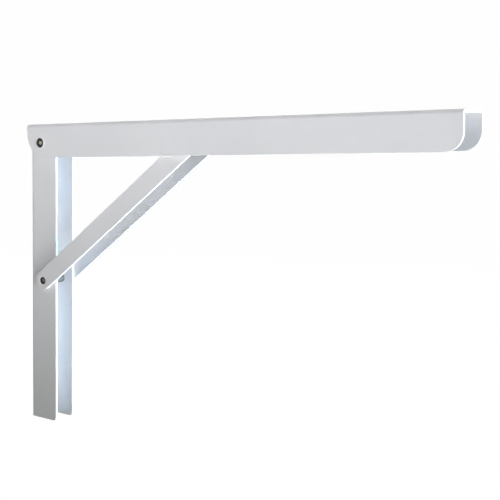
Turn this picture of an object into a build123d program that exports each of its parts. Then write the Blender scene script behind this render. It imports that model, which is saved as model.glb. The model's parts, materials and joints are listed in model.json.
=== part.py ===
from build123d import *
import math
import os

# ---------------------------------------------------------------------------
# Folding shelf bracket, shown open.
# Frame: X runs out from the wall, Y across the bracket, Z up. The origin is on
# the wall plane, on the bracket's middle plane, level with the main hinge pin.
# "Left" is the -Y side. All sizes are in millimetres.
#
# Three nested sheet-steel members turn on two riveted pivots:
#   wall_leg   U channel, web on the wall, open towards the room (narrowest)
#   brace bars two flat bars, outside the wall leg
#   shelf_arm  U channel, web under the shelf, open downwards (widest)
# The upper ends of the bars carry a cross pin. Its bushes run along the lower
# edges of a guide rail under the arm's web, and a leaf spring hooks behind it.
# ---------------------------------------------------------------------------

# sheet and section
SHEET = 2.5                 # sheet thickness of arm, leg and bars
BEND_IN = 0.5               # inside bend radius
BEND_OUT = BEND_IN + SHEET  # outside bend radius
EDGE = 0.35                 # broken edge of the cut sheet

# wall leg
LEG_W = 23.0                # overall width
LEG_DEPTH = 29.55           # wall to front edge
LEG_BOTTOM = -244.3
LEG_TOP = 11.9
LEG_CORNER = 3.5
PIVOT_X = 16.6              # both pivots stand this far from the wall
LOWER_PIVOT_Z = -119.6
WALL_HOLE_R = 3.0
WALL_HOLES_Z = (-50.0, -140.0, -230.0)

# brace bars
BAR_W = 16.0
BAR_IN = 11.85              # inner face of each bar, from the middle plane
BAR_OUT = BAR_IN + SHEET
BRACE_ANGLE = 38.7          # above level, bracket open

# shelf arm
ARM_W = 34.4
ARM_TILT = 3.3              # the free end stands a little high
ARM_BACK = -14.95           # arm's back end, from the pivot
ARM_LENGTH = 400.4
ARM_TOP = 15.8              # web's top face above the pivot line
ARM_LOW = -12.6             # flange's lower edge below the pivot line
ARM_FRONT_R = 13.5          # rounded lower corner at the free end
ARM_BACK_R = 20.0           # rounded lower corner at the hinge end
ARM_BACK_TOP_R = 1.6        # rounded upper corner at the hinge end
SHELF_HOLE_R = 3.0
SHELF_HOLES_S = (35.0, 95.0, 350.0, 374.0)

# pivots and pins
PIN_R = 3.0
RUN = 0.05                  # radial running clearance on every pin
TRACK_N = 4.65              # cross pin's height above the pivot line, in the arm

# guide rail
RAIL_T = 1.5
RAIL_HALF = 7.5
RAIL_S0 = 112.0
RAIL_S1 = 343.5
BUSH_R = 4.0

ARM_FRONT = ARM_BACK + ARM_LENGTH
WEB_UNDER = ARM_TOP - SHEET
RAIL_UNDER = WEB_UNDER - RAIL_T
WALL_LOW = TRACK_N + BUSH_R + 0.3

tilt = math.radians(ARM_TILT)
beta = math.radians(BRACE_ANGLE)
# length between the bars' two holes, from the height of the pin in the arm
BRACE_LEN = (TRACK_N - LOWER_PIVOT_Z * math.cos(tilt)) / math.sin(beta - tilt)
PIN_S = BRACE_LEN * math.cos(beta - tilt) + LOWER_PIVOT_Z * math.sin(tilt)


# ---------------------------------------------------------------------------
# helpers
# ---------------------------------------------------------------------------
def box(x0, x1, y0, y1, z0, z1):
    return Pos((x0 + x1) / 2, (y0 + y1) / 2, (z0 + z1) / 2) * Box(x1 - x0, y1 - y0, z1 - z0)


def ycyl(x, z, r, y0, y1):
    return Pos(x, (y0 + y1) / 2, z) * Rot(X=90) * Cylinder(r, y1 - y0)


def zcyl(x, y, r, z0, z1):
    return Pos(x, y, (z0 + z1) / 2) * Cylinder(r, z1 - z0)


def xcyl(y, z, r, x0, x1):
    return Pos((x0 + x1) / 2, y, z) * Rot(Y=90) * Cylinder(r, x1 - x0)


def side_plate(curve_list, half):
    """Solid between -half and +half in Y from a closed outline drawn in X, Z."""
    face = make_face(curve_list)
    return Pos(0, half, 0) * extrude(face, amount=2 * half, dir=(0, -1, 0))


def line(a, b):
    return Edge.make_line((a[0], 0, a[1]), (b[0], 0, b[1]))


def arc3(a, m, b):
    return Edge.make_three_point_arc((a[0], 0, a[1]), (m[0], 0, m[1]), (b[0], 0, b[1]))


def turned_y(points):
    """Body turned about the Y axis from a closed list of (radius, y) points.
    A point given as (radius, y, "mid") is the middle of an arc."""
    edges = []
    i = 0
    n = len(points)
    while i < n:
        a = points[i]
        b = points[(i + 1) % n]
        if len(b) == 3:
            c = points[(i + 2) % n]
            edges.append(Edge.make_three_point_arc((a[0], 0, a[1]), (b[0], 0, b[1]), (c[0], 0, c[1])))
            i += 2
        else:
            edges.append(Edge.make_line((a[0], 0, a[1]), (b[0], 0, b[1])))
            i += 1
    face = make_face(edges)
    return Rot(X=-90) * revolve(face, Axis.Z, 360)


def break_edges(solid, is_cut, radius):
    """Round both rims of the cut faces of a sheet; the joins between two cut
    faces are left alone."""
    cut = [f for f in solid.faces() if is_cut(f)]
    seen = {}
    for f in cut:
        for e in f.edges():
            seen.setdefault(e.wrapped.__hash__(), []).append(e)
    todo = []
    for es in seen.values():
        if len(es) == 1:
            todo.append(es[0])
    return solid.fillet(radius, todo)


def one(shape):
    s = shape.solids()
    assert len(s) == 1, len(s)
    return s[0]


# ---------------------------------------------------------------------------
# wall leg: U channel, web against the wall
# ---------------------------------------------------------------------------
def make_wall_leg():
    h = LEG_W / 2
    outer = box(0, LEG_DEPTH + 10, -h, h, LEG_BOTTOM - 5, LEG_TOP + 5)
    outer = fillet(outer.edges().filter_by(Axis.Z).sort_by(Axis.X)[:2], BEND_OUT)
    hi = h - SHEET
    inner = box(SHEET, LEG_DEPTH + 20, -hi, hi, LEG_BOTTOM - 10, LEG_TOP + 10)
    inner = fillet(inner.edges().filter_by(Axis.Z).sort_by(Axis.X)[:2], BEND_IN)
    channel = outer - inner
    # side outline: the front top corner follows a circle about the hinge, so
    # that the arm's web clears it as the arm turns down
    front = LEG_DEPTH
    r_top = front - PIVOT_X
    x_t = math.sqrt(r_top ** 2 - LEG_TOP ** 2)
    a0 = 0.0
    a1 = math.atan2(LEG_TOP, x_t)
    am = (a0 + a1) / 2
    c = LEG_CORNER
    k = c * (1 - math.sqrt(0.5))
    pts = [
        line((-1, LEG_BOTTOM), (front - c, LEG_BOTTOM)),
        arc3((front - c, LEG_BOTTOM), (front - k, LEG_BOTTOM + k), (front, LEG_BOTTOM + c)),
        line((front, LEG_BOTTOM + c), (front, 0)),
        arc3((front, 0), (PIVOT_X + r_top * math.cos(am), r_top * math.sin(am)), (PIVOT_X + x_t, LEG_TOP)),
        line((PIVOT_X + x_t, LEG_TOP), (-1, LEG_TOP)),
        line((-1, LEG_TOP), (-1, LEG_BOTTOM)),
    ]
    leg = one(channel & side_plate(pts, h + 1))

    def is_cut(f):
        n = f.normal_at(f.center())
        if f.geom_type == GeomType.PLANE:
            return abs(n.Z) > 0.9 or (n.X > 0.9 and abs(f.center().X - front) < 0.01)
        if f.geom_type == GeomType.CYLINDER:
            return f.bounding_box().size.Y < SHEET + 0.1 and f.bounding_box().size.Z < 20
        return False

    leg = break_edges(leg, is_cut, EDGE)
    for z in (0.0, LOWER_PIVOT_Z):
        leg = leg - ycyl(PIVOT_X, z, PIN_R + RUN, -h - 1, h + 1)
    for z in WALL_HOLES_Z:
        leg = leg - xcyl(0, z, WALL_HOLE_R, -1, SHEET + 1)
    return one(leg)


# ---------------------------------------------------------------------------
# brace bars: flat bars with full-round ends, drawn along +X from the lower
# hole, then turned up to the brace angle
# ---------------------------------------------------------------------------
BAR_SINK_LOW = 5.1          # mouth radius of the countersink at the lower pivot
BAR_SINK_TOP = 4.7          # mouth radius of the countersink at the cross pin


def place_brace(shape):
    return Pos(PIVOT_X, 0, LOWER_PIVOT_Z) * Rot(Y=-BRACE_ANGLE) * shape


def make_bar(side):
    r = BAR_W / 2
    L = BRACE_LEN
    pts = [
        line((0, -r), (L, -r)),
        arc3((L, -r), (L + r, 0), (L, r)),
        line((L, r), (0, r)),
        arc3((0, r), (-r, 0), (0, -r)),
    ]
    face = make_face(pts)
    bar = Pos(0, BAR_OUT, 0) * extrude(face, amount=SHEET, dir=(0, -1, 0))
    rims = [e for e in bar.edges() if e.bounding_box().size.Y < 0.01]
    bar = bar.fillet(EDGE, rims)
    for x, mouth in ((0.0, BAR_SINK_LOW), (L, BAR_SINK_TOP)):
        sink = turned_y([(0, BAR_IN - 1), (PIN_R + RUN, BAR_IN - 1), (PIN_R + RUN, BAR_OUT - (mouth - PIN_R - RUN)),
                         (mouth, BAR_OUT), (mouth, BAR_OUT + 1), (0, BAR_OUT + 1)])
        bar = bar - Pos(x, 0, 0) * sink
    if side < 0:
        bar = mirror(bar, about=Plane.XZ)
    return one(place_brace(bar))


# ---------------------------------------------------------------------------
# shelf arm: U channel, web on top, drawn with the hinge at the origin
# ---------------------------------------------------------------------------
RAIL_RIVETS_S = (205.0, 262.0, 328.0)
SPRING_RIVETS_S = (118.5, 128.5)
RIVET_R = 2.0
RIVET_SINK = 3.6


def place_arm(shape):
    return Pos(PIVOT_X, 0, 0) * Rot(Y=-ARM_TILT) * shape


def make_shelf_arm():
    h = ARM_W / 2
    hi = h - SHEET
    a, b = ARM_BACK, ARM_FRONT
    outer = box(a - 5, b + 5, -h, h, ARM_LOW - 10, ARM_TOP)
    outer = fillet(outer.edges().filter_by(Axis.X).sort_by(Axis.Z)[-2:], BEND_OUT)
    inner = box(a - 10, b + 10, -hi, hi, ARM_LOW - 20, WEB_UNDER)
    inner = fillet(inner.edges().filter_by(Axis.X).sort_by(Axis.Z)[-2:], BEND_IN)
    channel = outer - inner
    rf, rb, rt = ARM_FRONT_R, ARM_BACK_R, ARM_BACK_TOP_R
    kf, kb, kt = (r * (1 - math.sqrt(0.5)) for r in (rf, rb, rt))
    lo = ARM_LOW
    pts = [
        line((a + rb, lo), (b - rf, lo)),
        arc3((b - rf, lo), (b - kf, lo + kf), (b, lo + rf)),
        line((b, lo + rf), (b, ARM_TOP + 1)),
        line((b, ARM_TOP + 1), (a, ARM_TOP + 1)),
        line((a, ARM_TOP + 1), (a, lo + rb)),
        arc3((a, lo + rb), (a + kb, lo + kb), (a + rb, lo)),
    ]
    arm = one(channel & side_plate(pts, h + 1))

    def is_cut(f):
        c = f.center()
        n = f.normal_at(c)
        if f.geom_type == GeomType.PLANE:
            return abs(n.X) > 0.9 or (n.Z < -0.9 and abs(c.Z - lo) < 0.01)
        if f.geom_type == GeomType.CYLINDER:
            bb = f.bounding_box().size
            return bb.Y < SHEET + 0.1 and bb.X < 30
        return False

    arm = break_edges(arm, is_cut, EDGE)
    t = ARM_TOP
    arm = arm - side_plate([
        line((a - 1, t + 1), (a - 1, t - rt)),
        line((a - 1, t - rt), (a, t - rt)),
        arc3((a, t - rt), (a + kt, t - kt), (a + rt, t)),
        line((a + rt, t), (a + rt, t + 1)),
        line((a + rt, t + 1), (a - 1, t + 1)),
    ], h + 1)
    arm = arm - ycyl(0, 0, PIN_R + RUN, -h - 1, h + 1)
    for s in SHELF_HOLES_S:
        arm = arm - zcyl(s, 0, SHELF_HOLE_R, 0, ARM_TOP + 1)
    for s in RAIL_RIVETS_S + SPRING_RIVETS_S:
        arm = arm - zcyl(s, 0, RIVET_R, 0, ARM_TOP + 1)
        d = RIVET_SINK - RIVET_R
        arm = arm - Pos(s, 0, ARM_TOP - d / 2) * Cone(RIVET_R, RIVET_SINK, d)
    return one(place_arm(arm))


# ---------------------------------------------------------------------------
# guide rail: folded U under the arm's web. Its side walls are deeper at both
# ends, where they stop the cross pin's bushes
# ---------------------------------------------------------------------------
def make_guide_rail():
    hw = RAIL_HALF
    top = WEB_UNDER
    s0, s1 = RAIL_S0, RAIL_S1
    outer = box(s0, s1, -hw, hw, -2, top)
    outer = fillet(outer.edges().filter_by(Axis.X).sort_by(Axis.Z)[-2:], RAIL_T + 0.5)
    inner = box(s0 - 1, s1 + 1, -hw + RAIL_T, hw - RAIL_T, -4, RAIL_UNDER)
    inner = fillet(inner.edges().filter_by(Axis.X).sort_by(Axis.Z)[-2:], 0.5)
    rail = outer - inner
    stop_in = PIN_S - BUSH_R - 0.35
    stop_out = PIN_FOLDED_S + BUSH_R + 0.35
    for x0, x1 in ((s0 - 1, stop_in - 8), (stop_in, stop_out)):
        rail = rail - box(x0, x1, -hw - 1, hw + 1, -4, WALL_LOW)
    # window over the latch, so that it can be pushed up clear of the pin
    rail = rail - box(142, 182, -5.2, 5.2, RAIL_UNDER - 1, top + 1)
    for s in RAIL_RIVETS_S + SPRING_RIVETS_S:
        rail = rail - zcyl(s, 0, RIVET_R, 0, top + 1)
    return one(place_arm(rail))


# pin position along the arm when the arm hangs straight down
PIN_FOLDED_S = -LOWER_PIVOT_Z + math.sqrt(BRACE_LEN ** 2 - TRACK_N ** 2)


def make_lock_spring():
    """Leaf spring: riveted seat, slope, flat over the pin, hook behind it."""
    t = 0.8
    m = RAIL_UNDER - t / 2
    pin_top = TRACK_N + PIN_R
    n_flat = pin_top + 0.35 + t / 2
    s_hook = PIN_S + PIN_R + 0.3 + t / 2
    path = [(114.0, m), (134.0, m), (150.0, n_flat), (s_hook, n_flat), (s_hook, TRACK_N - 0.4), (s_hook + 1.8, TRACK_N - 1.8)]
    wire = FilletPolyline(*[(x, 0, z) for x, z in path], radius=[4.0, 4.0, 0.9, 1.2])
    start = wire @ 0
    section = Plane(origin=start, z_dir=wire % 0, x_dir=(0, 1, 0)) * Rectangle(9.0, t)
    leaf = sweep(section, path=wire)
    for s in SPRING_RIVETS_S:
        leaf = leaf - zcyl(s, 0, RIVET_R, 0, 30)
    return one(place_arm(leaf))


def make_web_rivet(s, low):
    """Rivet through the arm's web, flush on top, with a low head below."""
    d = RIVET_SINK - RIVET_R
    top = ARM_TOP - 0.05
    face = make_face([
        line((0, top), (RIVET_SINK - 0.05, top)),
        line((RIVET_SINK - 0.05, top), (RIVET_R, top - d + 0.05)),
        line((RIVET_R, top - d + 0.05), (RIVET_R, low)),
        line((RIVET_R, low), (3.3, low)),
        arc3((3.3, low), (2.6, low - 0.7), (1.4, low - 1.0)),
        line((1.4, low - 1.0), (0, low - 1.0)),
        line((0, low - 1.0), (0, top)),
    ])
    return one(place_arm(Pos(s, 0, 0) * revolve(face, Axis.Z, 360)))


# ---------------------------------------------------------------------------
# pivots
# ---------------------------------------------------------------------------
def ring_y(r_in, r_out, y0, y1, soft=0.3):
    return turned_y([(r_in, y0), (r_out - soft, y0), (r_out, y0 + soft), (r_out, y1 - soft), (r_out - soft, y1), (r_in, y1)])


def make_top_rivet():
    """Rivet with a rolled collar on the left, whose flared mouth shows the end
    of the core in a ring groove, and a domed head on the right."""
    yl = -ARM_W / 2
    yr = ARM_W / 2
    body = turned_y([
        (0, yl - 0.2), (0.9, yl - 0.2), (1.3, yl + 0.1), (1.45, yl + 1.3), (2.6, yl + 1.3),
        (2.9, yl + 0.35, "mid"), (3.55, yl - 0.32), (4.0, yl - 0.4), (4.9, yl - 0.26, "mid"), (5.5, yl),
        (PIN_R, yl), (PIN_R, yr), (0, yr),
    ])
    # head: a slice of a ball, 1.9 high with a 0.5 straight rim
    head = Pos(0, yr - 10.0, 0) * Sphere(11.9) & ycyl(0, 0, 5.6, yr, yr + 3)
    return one(Pos(PIVOT_X, 0, 0) * (body + head))


def make_lower_rivet():
    """Flush rivet through both bars; its left end has a flared mouth round
    the end of the core."""
    ye = BAR_OUT - 0.05
    rl = BAR_SINK_LOW - 0.05
    d = rl - PIN_R
    body = turned_y([
        (0, -ye + 0.7), (0.8, -ye + 0.7), (1.1, -ye + 1.0), (1.2, -ye + 1.9), (2.0, -ye + 1.9),
        (2.3, -ye + 0.75, "mid"), (3.1, -ye),
        (rl, -ye), (PIN_R, -ye + d), (PIN_R, ye - d), (rl, ye), (0, ye),
    ])
    return one(Pos(PIVOT_X, 0, LOWER_PIVOT_Z) * body)


def make_slide_pin():
    ye = BAR_OUT - 0.05
    rl = BAR_SINK_TOP - 0.05
    d = rl - PIN_R
    body = turned_y([(0, -ye), (rl, -ye), (PIN_R, -ye + d), (PIN_R, ye - d), (rl, ye), (0, ye)])
    return one(place_brace(Pos(BRACE_LEN, 0, 0) * body))


def make_guide_bush(side):
    b = ring_y(PIN_R + RUN, BUSH_R, 5.3, BAR_IN - 0.1)
    if side < 0:
        b = mirror(b, about=Plane.XZ)
    return one(place_brace(Pos(BRACE_LEN, 0, 0) * b))


def make_top_bush(side):
    b = ring_y(PIN_R + RUN, 6.0, LEG_W / 2 + 0.05, ARM_W / 2 - SHEET - 0.05)
    if side < 0:
        b = mirror(b, about=Plane.XZ)
    return one(Pos(PIVOT_X, 0, 0) * b)


def make_spacer_tube(z, r):
    half = LEG_W / 2 - SHEET - 0.05
    return one(Pos(PIVOT_X, 0, z) * ring_y(PIN_R + RUN, r, -half, half))


# ---------------------------------------------------------------------------
# write the pieces
# ---------------------------------------------------------------------------
nodes = {
    "wall_leg": make_wall_leg(),
    "top_spacer_tube": make_spacer_tube(0.0, 4.5),
    "lower_spacer_tube": make_spacer_tube(LOWER_PIVOT_Z, 4.0),
    "top_bush_left": make_top_bush(-1),
    "top_bush_right": make_top_bush(1),
    "brace_bar_left": make_bar(-1),
    "brace_bar_right": make_bar(1),
    "lower_pivot_rivet": make_lower_rivet(),
    "slide_pin": make_slide_pin(),
    "guide_bush_left": make_guide_bush(-1),
    "guide_bush_right": make_guide_bush(1),
    "shelf_arm": make_shelf_arm(),
    "top_pivot_rivet": make_top_rivet(),
    "guide_rail": make_guide_rail(),
    "lock_spring": make_lock_spring(),
    "rail_rivet_rear": make_web_rivet(RAIL_RIVETS_S[0], RAIL_UNDER),
    "rail_rivet_middle": make_web_rivet(RAIL_RIVETS_S[1], RAIL_UNDER),
    "rail_rivet_front": make_web_rivet(RAIL_RIVETS_S[2], RAIL_UNDER),
    "spring_rivet_rear": make_web_rivet(SPRING_RIVETS_S[0], RAIL_UNDER - 0.8),
    "spring_rivet_front": make_web_rivet(SPRING_RIVETS_S[1], RAIL_UNDER - 0.8),
}

os.makedirs("parts", exist_ok=True)
for name, shape in nodes.items():
    export_step(shape, "parts/" + name + ".step")

folded = math.degrees(math.acos(TRACK_N / BRACE_LEN))
print("brace length between holes", round(BRACE_LEN, 4))
print("pin along the arm, open and folded", round(PIN_S, 3), round(PIN_FOLDED_S, 3))
print("arm fold", 90 + ARM_TILT, "brace fold", round(BRACE_ANGLE + folded, 4), "ratio", round((BRACE_ANGLE + folded) / (90 + ARM_TILT), 6))
print("cross pin at", round(PIVOT_X + BRACE_LEN * math.cos(beta), 4), round(LOWER_PIVOT_Z + BRACE_LEN * math.sin(beta), 4))
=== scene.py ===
import bpy
import json
import math
from mathutils import Matrix, Vector


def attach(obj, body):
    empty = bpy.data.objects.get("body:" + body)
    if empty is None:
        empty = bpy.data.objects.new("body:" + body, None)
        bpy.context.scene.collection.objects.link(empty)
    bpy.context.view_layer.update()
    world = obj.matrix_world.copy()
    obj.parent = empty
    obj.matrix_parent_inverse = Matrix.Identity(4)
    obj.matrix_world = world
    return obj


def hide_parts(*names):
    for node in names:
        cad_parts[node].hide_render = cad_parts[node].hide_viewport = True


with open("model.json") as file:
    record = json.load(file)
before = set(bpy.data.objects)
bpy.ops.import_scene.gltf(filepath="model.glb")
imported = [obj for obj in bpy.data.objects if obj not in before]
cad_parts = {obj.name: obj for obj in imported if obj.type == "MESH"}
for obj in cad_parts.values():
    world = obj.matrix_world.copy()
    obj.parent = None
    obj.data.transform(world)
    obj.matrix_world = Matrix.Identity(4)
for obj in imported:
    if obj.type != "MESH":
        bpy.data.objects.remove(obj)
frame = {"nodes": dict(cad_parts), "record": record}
scene = bpy.context.scene
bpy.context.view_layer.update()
nodes = frame["nodes"]
MM = 0.001


# ---------------------------------------------------------------------------
# camera: at the photo's viewing angle
# ---------------------------------------------------------------------------
def make_camera():
    yaw, pitch, roll = math.radians(33.83), math.radians(-7.78), math.radians(1.38)
    f = Vector((-math.sin(yaw) * math.cos(pitch), math.cos(yaw) * math.cos(pitch), math.sin(pitch)))
    r = Vector((math.cos(yaw), math.sin(yaw), 0.0))
    u = r.cross(f)
    r2 = r * math.cos(roll) + u * math.sin(roll)
    u2 = r2.cross(f)
    data = bpy.data.cameras.new("camera")
    data.sensor_width = 36.0
    data.lens = 1080.19 * 36.0 / 500.0
    data.clip_start, data.clip_end = 0.01, 100.0
    cam = bpy.data.objects.new("camera", data)
    m = Matrix((r2, u2, -f)).transposed().to_4x4()
    m.translation = Vector((0.68312, -0.68561, 0.03852))
    cam.matrix_world = m
    scene.collection.objects.link(cam)
    scene.camera = cam


# ---------------------------------------------------------------------------
# node helpers
# ---------------------------------------------------------------------------
class Tree:
    def __init__(self, name):
        self.mat = bpy.data.materials.new(name)
        self.mat.use_nodes = True
        self.t = self.mat.node_tree
        self.t.nodes.clear()
        self.out = self.add("ShaderNodeOutputMaterial")
        self.bsdf = self.add("ShaderNodeBsdfPrincipled")
        self.link(self.bsdf.outputs["BSDF"], self.out.inputs["Surface"])
        self.co = self.add("ShaderNodeTexCoord").outputs["Object"]

    def add(self, kind, **props):
        n = self.t.nodes.new(kind)
        for k, v in props.items():
            setattr(n, k, v)
        return n

    def link(self, a, b):
        self.t.links.new(a, b)

    def put(self, socket, value):
        if hasattr(value, "links") or hasattr(value, "is_linked"):
            self.link(value, socket)
        else:
            socket.default_value = value

    def noise(self, scale, detail=2.0, rough=0.5, stretch=None, shift=None, distort=0.0):
        n = self.add("ShaderNodeTexNoise")
        co = self.co
        if stretch or shift:
            m = self.add("ShaderNodeMapping")
            m.inputs["Scale"].default_value = stretch or (1, 1, 1)
            m.inputs["Location"].default_value = shift or (0, 0, 0)
            self.link(co, m.inputs["Vector"])
            co = m.outputs["Vector"]
        self.link(co, n.inputs["Vector"])
        n.inputs["Scale"].default_value = scale
        n.inputs["Detail"].default_value = detail
        n.inputs["Roughness"].default_value = rough
        n.inputs["Distortion"].default_value = distort
        return n.outputs["Fac"]

    def ramp(self, fac, stops):
        n = self.add("ShaderNodeValToRGB")
        e = n.color_ramp.elements
        while len(e) > 1:
            e.remove(e[-1])
        e[0].position, e[0].color = stops[0][0], stops[0][1]
        for p, c in stops[1:]:
            k = e.new(p)
            k.color = c
        self.link(fac, n.inputs["Fac"])
        return n.outputs["Color"]

    def span(self, value, a, b, c, d):
        n = self.add("ShaderNodeMapRange")
        self.link(value, n.inputs["Value"])
        for k, v in (("From Min", a), ("From Max", b), ("To Min", c), ("To Max", d)):
            n.inputs[k].default_value = v
        return n.outputs["Result"]

    def math(self, op, a, b=0.0):
        n = self.add("ShaderNodeMath", operation=op)
        self.put(n.inputs[0], a)
        self.put(n.inputs[1], b)
        return n.outputs[0]

    def mix(self, fac, a, b, mode="MIX"):
        n = self.add("ShaderNodeMix", data_type="RGBA", blend_type=mode)
        self.put(n.inputs[0], fac)
        self.put(n.inputs[6], a)
        self.put(n.inputs[7], b)
        return n.outputs[2]

    def bump(self, height, strength, distance, normal=None):
        n = self.add("ShaderNodeBump")
        n.inputs["Strength"].default_value = strength
        n.inputs["Distance"].default_value = distance
        self.link(height, n.inputs["Height"])
        if normal is not None:
            self.link(normal, n.inputs["Normal"])
        return n.outputs["Normal"]

    def edge(self, radius):
        """0 on flats, rising to about 1 on edges tighter than the radius."""
        b = self.add("ShaderNodeBevel", samples=4)
        b.inputs["Radius"].default_value = radius
        g = self.add("ShaderNodeNewGeometry")
        d = self.add("ShaderNodeVectorMath", operation="DOT_PRODUCT")
        self.link(b.outputs["Normal"], d.inputs[0])
        self.link(g.outputs["Normal"], d.inputs[1])
        return self.span(d.outputs["Value"], 0.995, 0.80, 0.0, 1.0)

    def set(self, name, value):
        self.put(self.bsdf.inputs[name], value)


def rgb(r, g, b):
    return (r, g, b, 1.0)


def coat_material():
    """White powder coat: orange peel, slight clouding, thin on sharp edges, which are also painted darker as painted
    shade for dark reflections on the rounded edges.
    """
    t = Tree("white_powder_coat")
    cloud = t.noise(11.0, 3.0, 0.55)
    fine = t.noise(140.0, 3.0, 0.6, shift=(3.1, 0.7, 1.9))
    peel = t.noise(620.0, 1.5, 0.45)
    grit = t.noise(2600.0, 1.0, 0.5, shift=(0.4, 2.2, 5.0))
    base = t.mix(t.span(cloud, 0.3, 0.7, 0.0, 1.0), rgb(0.835, 0.845, 0.858), rgb(0.870, 0.878, 0.888))
    base = t.mix(t.span(fine, 0.35, 0.75, 0.0, 0.10), base, rgb(0.76, 0.77, 0.79))
    edge = t.edge(0.0005)
    # painted shade on sharp edges: the edge mask greys the coat, partly a thin coat, partly standing in for dark
    # reflections on the rounded edges
    thin_coat_edge_shade = t.math("MULTIPLY", edge, t.span(t.noise(320.0, 4.0, 0.7, shift=(7.0, 1.0, 2.0)), 0.42, 0.62, 0.15, 0.8))
    base = t.mix(t.math("MULTIPLY", thin_coat_edge_shade, 0.22), base, rgb(0.58, 0.59, 0.61))
    t.set("Base Color", base)
    t.set("Roughness", t.math("ADD", t.span(fine, 0.3, 0.7, 0.34, 0.46), t.math("MULTIPLY", thin_coat_edge_shade, 0.12)))
    height = t.math("ADD", peel, t.math("MULTIPLY", grit, 0.25))
    t.set("Normal", t.bump(height, 0.30, 0.00006))
    t.set("IOR", 1.5)
    return t.mat


def zinc_material():
    """Dull zinc plate: cloudy, with fine turning lines, and lighter on sharp edges."""
    t = Tree("zinc_plate")
    cloud = t.noise(160.0, 4.0, 0.6)
    lines = t.noise(900.0, 2.0, 0.5, stretch=(1.0, 9.0, 1.0))
    speck = t.noise(1500.0, 2.0, 0.6, shift=(2.0, 4.0, 1.0))
    base = t.mix(t.span(cloud, 0.3, 0.7, 0.0, 1.0), rgb(0.47, 0.48, 0.50), rgb(0.62, 0.62, 0.61))
    base = t.mix(t.span(speck, 0.55, 0.75, 0.0, 0.5), base, rgb(0.33, 0.33, 0.32))
    edge = t.edge(0.0003)
    base = t.mix(t.math("MULTIPLY", edge, 0.35), base, rgb(0.72, 0.72, 0.71))
    t.set("Base Color", base)
    t.set("Metallic", 1.0)
    t.set("Roughness", t.span(cloud, 0.3, 0.7, 0.34, 0.52))
    t.set("Normal", t.bump(t.math("ADD", lines, t.math("MULTIPLY", speck, 0.5)), 0.25, 0.00003))
    return t.mat


def shaded_tube_material():
    """Spacer tubes: a darker copy of the plated metal, painted shade for the tubes inside the channels, darker than
    the plated pieces.
    """
    t = Tree("tube_metal_painted_shade")
    cloud = t.noise(210.0, 4.0, 0.6)
    lines = t.noise(700.0, 3.0, 0.6, stretch=(1.0, 0.12, 1.0))
    base = t.mix(t.span(cloud, 0.3, 0.7, 0.0, 1.0), rgb(0.20, 0.20, 0.19), rgb(0.34, 0.335, 0.32))
    base = t.mix(t.math("MULTIPLY", t.edge(0.0003), 0.4), base, rgb(0.55, 0.54, 0.52))
    t.set("Base Color", base)
    t.set("Metallic", 0.85)
    t.set("Roughness", t.span(lines, 0.3, 0.7, 0.32, 0.50))
    t.set("Normal", t.bump(lines, 0.25, 0.00003))
    return t.mat


def rivet_mouth_shade_material():
    """Inside of the rivets' mouths: painted shade, near-black steel standing in for the shadow deep in the mouths."""
    t = Tree("rivet_mouth_painted_shade")
    cloud = t.noise(700.0, 3.0, 0.6)
    base = t.mix(t.span(cloud, 0.3, 0.7, 0.0, 1.0), rgb(0.030, 0.030, 0.022), rgb(0.085, 0.083, 0.060))
    t.set("Base Color", base)
    t.set("Metallic", 0.55)
    t.set("Roughness", t.span(cloud, 0.3, 0.7, 0.45, 0.65))
    t.set("Normal", t.bump(t.noise(2200.0, 2.0, 0.5), 0.3, 0.00003))
    return t.mat


def core_material(name, low, high):
    """End of a rivet's core: warm grey, hammered; its tone is painted light, set per rivet: lighter as a painted
    highlight on the top rivet, darker as painted shade on the lower one.
    """
    t = Tree(name)
    cloud = t.noise(900.0, 3.0, 0.6)
    t.set("Base Color", t.mix(t.span(cloud, 0.3, 0.7, 0.0, 1.0), low, high))
    t.set("Metallic", 0.3)
    t.set("Roughness", t.span(cloud, 0.3, 0.7, 0.40, 0.60))
    t.set("Normal", t.bump(t.noise(1800.0, 2.0, 0.5), 0.4, 0.00005))
    return t.mat


def spring_material():
    """Tempered spring steel: blue-grey with straw bands and fine rolling lines."""
    t = Tree("spring_steel")
    band = t.noise(60.0, 2.0, 0.5, stretch=(1.0, 0.3, 1.0))
    lines = t.noise(500.0, 3.0, 0.6, stretch=(0.2, 6.0, 1.0))
    base = t.ramp(band, [(0.30, rgb(0.16, 0.19, 0.26)), (0.50, rgb(0.27, 0.28, 0.30)), (0.70, rgb(0.36, 0.31, 0.24))])
    base = t.mix(t.math("MULTIPLY", t.edge(0.0003), 0.4), base, rgb(0.55, 0.55, 0.55))
    t.set("Base Color", base)
    t.set("Metallic", 1.0)
    t.set("Roughness", t.span(lines, 0.3, 0.7, 0.26, 0.42))
    t.set("Normal", t.bump(lines, 0.2, 0.00003))
    return t.mat


def bush_material():
    """Moulded plastic bush: waxy cream, faint flow marks."""
    t = Tree("moulded_plastic")
    cloud = t.noise(240.0, 3.0, 0.5)
    base = t.mix(t.span(cloud, 0.3, 0.7, 0.0, 1.0), rgb(0.74, 0.71, 0.63), rgb(0.83, 0.81, 0.75))
    t.set("Base Color", base)
    t.set("Roughness", t.span(cloud, 0.3, 0.7, 0.40, 0.55))
    t.set("Subsurface Weight", 0.15)
    t.set("Subsurface Radius", (0.002, 0.0015, 0.001))
    t.set("Normal", t.bump(t.noise(1400.0, 2.0, 0.5), 0.15, 0.00004))
    return t.mat


# floor and backdrop turn from white to grey by the bearing from a point in the room, in front of the bracket
SWEEP_FROM = (0.683, -0.686, -0.405)
SWEEP_SIDE = (-0.685, -0.729, 0.0)
SWEEP_GREY = 0.52


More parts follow.
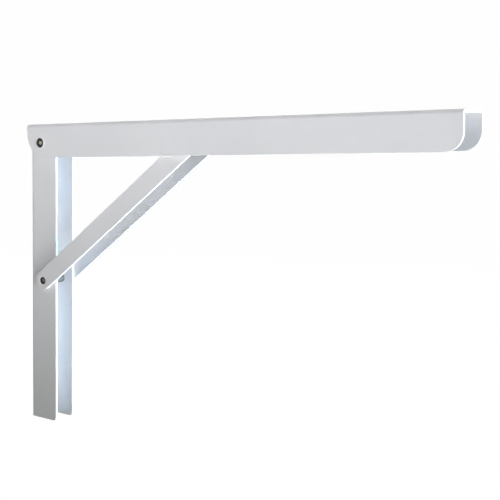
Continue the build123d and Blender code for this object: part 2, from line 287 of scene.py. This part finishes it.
def floor_material():
    t = Tree("glowing_floor")
    cloud = t.noise(3.0, 3.0, 0.5)
    base = t.mix(t.span(cloud, 0.3, 0.7, 0.0, 1.0), rgb(0.02, 0.02, 0.02), rgb(0.03, 0.03, 0.03))
    t.set("Base Color", base)
    t.set("Roughness", 0.9)
    t.set("Specular IOR Level", 0.0)
    # the floor's own glow paints its light: white under and behind the bracket, and a painted shade of pale grey on
    # the wall side
    way = t.add("ShaderNodeVectorMath", operation="SUBTRACT")
    t.link(t.co, way.inputs[0])
    way.inputs[1].default_value = SWEEP_FROM
    unit = t.add("ShaderNodeVectorMath", operation="NORMALIZE")
    t.link(way.outputs["Vector"], unit.inputs[0])
    side = t.add("ShaderNodeVectorMath", operation="DOT_PRODUCT")
    t.link(unit.outputs["Vector"], side.inputs[0])
    side.inputs[1].default_value = SWEEP_SIDE
    step = t.add("ShaderNodeMapRange", interpolation_type="SMOOTHSTEP")
    t.link(side.outputs["Value"], step.inputs["Value"])
    for k, v in (("From Min", 0.02), ("From Max", 0.42), ("To Min", 0.99), ("To Max", SWEEP_GREY)):
        step.inputs[k].default_value = v
    glow = step.outputs["Result"]
    # the floor's base is near black: all its paleness is painted light from this glow, not a lamp
    t.set("Emission Color", rgb(1.0, 1.0, 1.0))
    t.set("Emission Strength", glow)
    return t.mat


# ---------------------------------------------------------------------------
# turned pieces
# ---------------------------------------------------------------------------
def arc(a, m, b, n=10):
    """Points after a, up to b, on the circle through a, m and b."""
    ax, ay = a; mx, my = m; bx, by = b
    d = 2 * (ax * (my - by) + mx * (by - ay) + bx * (ay - my))
    ux = ((ax**2 + ay**2) * (my - by) + (mx**2 + my**2) * (by - ay) + (bx**2 + by**2) * (ay - my)) / d
    uy = ((ax**2 + ay**2) * (bx - mx) + (mx**2 + my**2) * (ax - bx) + (bx**2 + by**2) * (mx - ax)) / d
    r = math.hypot(ax - ux, ay - uy)
    t0, tm, t1 = (math.atan2(y - uy, x - ux) for x, y in (a, m, b))
    def unwrap(t, ref):
        while t - ref > math.pi: t -= 2 * math.pi
        while t - ref < -math.pi: t += 2 * math.pi
        return t
    tm = unwrap(tm, t0)
    t1 = unwrap(t1, tm)
    return [(ux + r * math.cos(t0 + (t1 - t0) * k / n), uy + r * math.sin(t0 + (t1 - t0) * k / n)) for k in range(1, n + 1)]


def turned(name, profile, centre, mats, wobble=None, segs=96):
    """Mesh turned about a line along Y through centre (x, z), from (radius, y, material) points in
    millimetres that start and end on the axis. The material is that of the strip up to the next point."""
    cx, cz = centre
    verts, faces, slots = [], [], []
    rings = []
    for r, y, _ in profile:
        if r < 1e-6:
            rings.append([len(verts)])
            verts.append((cx * MM, y * MM, cz * MM))
            continue
        ring = []
        for k in range(segs):
            a = 2 * math.pi * k / segs
            dr, dy = wobble(r, y, a) if wobble else (0.0, 0.0)
            ring.append(len(verts))
            verts.append(((cx + (r + dr) * math.cos(a)) * MM, (y + dy) * MM, (cz + (r + dr) * math.sin(a)) * MM))
        rings.append(ring)
    for i in range(len(rings) - 1):
        a, b, m = rings[i], rings[i + 1], profile[i][2]
        for k in range(segs):
            k2 = (k + 1) % segs
            if len(a) == 1:
                f = (a[0], b[k], b[k2])
            elif len(b) == 1:
                f = (a[k], b[0], a[k2])
            else:
                f = (a[k], b[k], b[k2], a[k2])
            faces.append(f)
            slots.append(m)
    me = bpy.data.meshes.new(name)
    me.from_pydata(verts, [], faces)
    for m in mats:
        me.materials.append(m)
    for p, s in zip(me.polygons, slots):
        p.material_index = s
        p.use_smooth = True
    me.validate()
    # outward normals: the volume has to come out positive
    vol = 0.0
    for p in me.polygons:
        vs = [me.vertices[i].co for i in p.vertices]
        for j in range(1, len(vs) - 1):
            vol += vs[0].dot(vs[j].cross(vs[j + 1]))
    if vol < 0:
        me.flip_normals()
    me.set_sharp_from_angle(angle=math.radians(50))
    ob = bpy.data.objects.new(name, me)
    scene.collection.objects.link(ob)
    return ob


def rounded(points, radius, n=4):
    """The profile with each marked corner replaced by a small curve. Points are (r, y, material, round?)."""
    out = []
    last = len(points) - 1
    for i, p in enumerate(points):
        r, y, m = p[:3]
        if i in (0, last) or len(p) < 4:
            out.append((r, y, m))
            continue
        k = p[3]
        a, b = Vector(points[i - 1][:2]), Vector(points[i + 1][:2])
        c = Vector((r, y))
        da, db = (a - c), (b - c)
        ka, kb = min(k, da.length * 0.45), min(k, db.length * 0.45)
        pa, pb = c + da.normalized() * ka, c + db.normalized() * kb
        for j in range(n + 1):
            s = j / n
            q = pa * (1 - s) ** 2 + c * 2 * s * (1 - s) + pb * s**2
            out.append((q.x, q.y, points[i - 1][2] if j < n // 2 else m))
    return out


def top_rivet(coat, dark, core):
    yl, yr = -17.2, 17.2
    C, D, K = 0, 1, 2
    p = [(0.0, yl - 0.36, K), (1.1, yl - 0.30, K, 0.2), (1.6, yl + 0.05, K, 0.2), (1.7, yl + 1.4, D, 0.1), (2.6, yl + 1.4, D, 0.2)]
    last = (2.6, yl + 1.1)
    p += [(*last, D)]
    # the mouth is flared out like a trumpet, and lies in front of the arm's face past the hole
    p += [(r, y, D) for r, y in arc(last, (2.93, yl + 0.05), (3.85, yl - 0.34), 12)]
    p[-1] = (3.85, yl - 0.34, D)
    p += [(4.10, yl - 0.355, C), (4.25, yl - 0.385, C), (4.4, yl - 0.385, C)]
    p += [(r, y, C) for r, y in arc((4.4, yl - 0.385), (5.05, yl - 0.24), (5.5, yl), 10)]
    p += [(3.0, yl + 0.02, C), (3.0, yr - 0.02, C), (5.6, yr, C), (5.6, yr + 0.5, C, 0.25)]
    R, c = 11.87, yr - 9.99
    for k in range(1, 15):
        r = 5.6 * (1 - k / 15.0)
        p.append((r, c + math.sqrt(R * R - r * r), C))
    p.append((0.0, yr + 1.885, C))

    def wobble(r, y, a):
        if y < yl + 0.05 and r > 3.0:      # the rolled collar isn't quite even
            w = 0.5 + 0.5 * math.sin(3 * a + 0.7) * 0.6 + 0.2 * math.sin(7 * a + 2.0)
            return (-0.05 * w, 0.04 * w)
        return (0.0, 0.0)
    ob = turned("top_pivot_rivet_set", rounded(p, 0.2), (16.6, 0.0), [coat, dark, core], wobble)
    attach(ob, "shelf_arm")
    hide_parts("top_pivot_rivet")


def lower_rivet(coat, dark, core):
    ye, rl = 14.30, 5.05
    d = rl - 3.0
    C, D, K = 0, 1, 2
    p = [(0.0, -ye + 0.28, K), (1.1, -ye + 0.34, K, 0.2), (1.55, -ye + 0.65, K, 0.15), (1.65, -ye + 1.9, D, 0.1), (2.1, -ye + 1.9, D, 0.1)]
    p += [(r, y, D) for r, y in arc((2.1, -ye + 1.9), (2.45, -ye + 0.75), (3.2, -ye + 0.04), 10)]
    p[-1] = (3.2, -ye + 0.04, C)
    p += [(3.35, -ye, C), (rl, -ye, C, 0.12), (3.0, -ye + d, C), (3.0, ye - d, C), (rl, ye, C, 0.12), (0.0, ye, C)]
    ob = turned("lower_pivot_rivet_set", rounded(p, 0.2), (16.6, -119.6), [coat, dark, core])
    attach(ob, "brace")
    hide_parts("lower_pivot_rivet")


# ---------------------------------------------------------------------------
# light and floor
# ---------------------------------------------------------------------------
def area(name, loc, target, sx, sy, power, colour=(1, 1, 1), spread=180.0):
    d = bpy.data.lights.new(name, "AREA")
    d.shape = "RECTANGLE"
    d.size, d.size_y = sx, sy
    d.energy = power
    d.color = colour
    d.spread = math.radians(spread)
    o = bpy.data.objects.new(name, d)
    o.location = loc
    o.rotation_euler = (Vector(target) - Vector(loc)).to_track_quat("-Z", "Y").to_euler()
    o.visible_camera = False
    scene.collection.objects.link(o)
    return o


def make_stage():
    me = bpy.data.meshes.new("floor")
    s, z = 12.0, -0.405
    me.from_pydata([(-s, -s, z), (s, -s, z), (s, s, z), (-s, s, z)], [], [(0, 1, 2, 3)])
    me.materials.append(floor_material())
    floor = bpy.data.objects.new("floor", me)
    scene.collection.objects.link(floor)
    floor.visible_diffuse = False
    floor.visible_glossy = False
    floor.visible_shadow = False        # key_low shines up through it

    w = bpy.data.worlds.new("studio")
    scene.world = w
    w.use_nodes = True
    t = w.node_tree
    t.nodes.clear()
    out = t.nodes.new("ShaderNodeOutputWorld")
    # the backdrop is white, and turns pale grey on the wall side, where the white faces that look
    # into the room stand against it
    co = t.nodes.new("ShaderNodeTexCoord")
    side = t.nodes.new("ShaderNodeVectorMath")
    side.operation = "DOT_PRODUCT"
    t.links.new(co.outputs["Generated"], side.inputs[0])
    side.inputs[1].default_value = SWEEP_SIDE
    step = t.nodes.new("ShaderNodeMapRange")
    step.interpolation_type = "SMOOTHSTEP"
    t.links.new(side.outputs["Value"], step.inputs["Value"])
    for k, v in (("From Min", 0.02), ("From Max", 0.42), ("To Min", 0.99), ("To Max", SWEEP_GREY)):
        step.inputs[k].default_value = v
    tone = t.nodes.new("ShaderNodeCombineColor")
    for k in range(3):
        t.links.new(step.outputs["Result"], tone.inputs[k])
    seen = t.nodes.new("ShaderNodeBackground")
    t.links.new(tone.outputs["Color"], seen.inputs["Color"])
    lit = t.nodes.new("ShaderNodeBackground")
    lit.inputs["Color"].default_value = (0.95, 0.97, 1.0, 1.0)
    lit.inputs["Strength"].default_value = 0.08
    gloss = t.nodes.new("ShaderNodeBackground")
    gloss.inputs["Strength"].default_value = 0.5
    path = t.nodes.new("ShaderNodeLightPath")
    soft = t.nodes.new("ShaderNodeMixShader")
    t.links.new(path.outputs["Is Glossy Ray"], soft.inputs[0])
    t.links.new(lit.outputs[0], soft.inputs[1])
    t.links.new(gloss.outputs[0], soft.inputs[2])
    mix = t.nodes.new("ShaderNodeMixShader")
    t.links.new(path.outputs["Is Camera Ray"], mix.inputs[0])
    t.links.new(soft.outputs[0], mix.inputs[1])
    t.links.new(seen.outputs[0], mix.inputs[2])
    t.links.new(mix.outputs[0], out.inputs["Surface"])

    # the key comes level from the room side, 22 degrees in front of the bracket's plane, through a grid
    area("key", (1.75, -0.70, 0.0), (0.05, 0.0, -0.055), 0.34, 0.34, 0.138, (0.90, 0.93, 1.0), 20.0)
    # a cold one as far behind the plane, and two broad ones from below, reach into the channels
    area("key_inside", (1.75, 0.62, 0.0), (0.03, 0.0, -0.07), 0.3, 0.3, 0.38, (0.15, 0.50, 1.0), 20.0)
    area("key_low", (1.30, -0.10, -1.0), (0.15, 0.0, -0.04), 0.6, 0.6, 1.0, (0.98, 0.98, 0.94), 40.0)
    area("key_mid", (1.62, -0.20, -0.55), (0.15, 0.0, -0.04), 0.6, 0.6, 1.62, (0.98, 0.98, 0.93), 40.0)
    # strip in front, at the arm's height, so that the leg darkens downwards
    area("strip", (-0.15, -0.475, 0.035), (-0.15, 0.0, 0.035), 1.5, 0.1, 0.705, (0.93, 0.933, 0.985), 80.0)
    area("fill", (-1.2, -1.4, 0.2), (0.1, 0.0, 0.0), 1.0, 1.0, 1.6, (1.0, 0.88, 0.62), 180.0)
    # weak ones for the sides that the photo's camera doesn't see
    area("top", (0.2, 0.1, 1.6), (0.2, 0.0, 0.0), 1.4, 1.4, 10.0, (1.0, 1.0, 1.0), 180.0)
    area("back", (-0.4, 1.8, 0.4), (0.15, 0.0, -0.05), 1.6, 1.6, 20.0, (1.0, 0.94, 0.84), 180.0)
    area("wall_side", (-1.3, 1.3, 0.2), (0.0, 0.0, -0.05), 1.2, 1.2, 13.0, (1.0, 0.99, 0.97), 180.0)


scene.view_settings.view_transform = "Standard"
scene.view_settings.look = "None"

make_camera()
make_stage()

# dark is the painted shade inside the rivets' mouths, standing in for the shadow in them
coat, zinc, dark = coat_material(), zinc_material(), rivet_mouth_shade_material()
# the two core copies are painted light: the top one lighter as a painted highlight, the lower one darker as painted
# shade
core_top = core_material("rivet_core_painted_highlight", rgb(0.40, 0.39, 0.32), rgb(0.58, 0.57, 0.48))
core_low = core_material("rivet_core_painted_shade", rgb(0.19, 0.19, 0.17), rgb(0.30, 0.29, 0.26))
spring, bush, tube = spring_material(), bush_material(), shaded_tube_material()

finish_of = {"white_coat": coat, "zinc_steel": zinc, "spring_steel": spring, "bush_plastic": bush}
for part in frame["record"]["subparts"]:
    o = nodes[part["node"]]
    for s in o.material_slots:
        # the spacer tubes get the darker copy of the plated metal, painted shade for their place inside the channels
        s.material = tube if part["node"].endswith("spacer_tube") else finish_of[part["material_slot"]]

top_rivet(coat, dark, core_top)
lower_rivet(coat, dark, core_low)
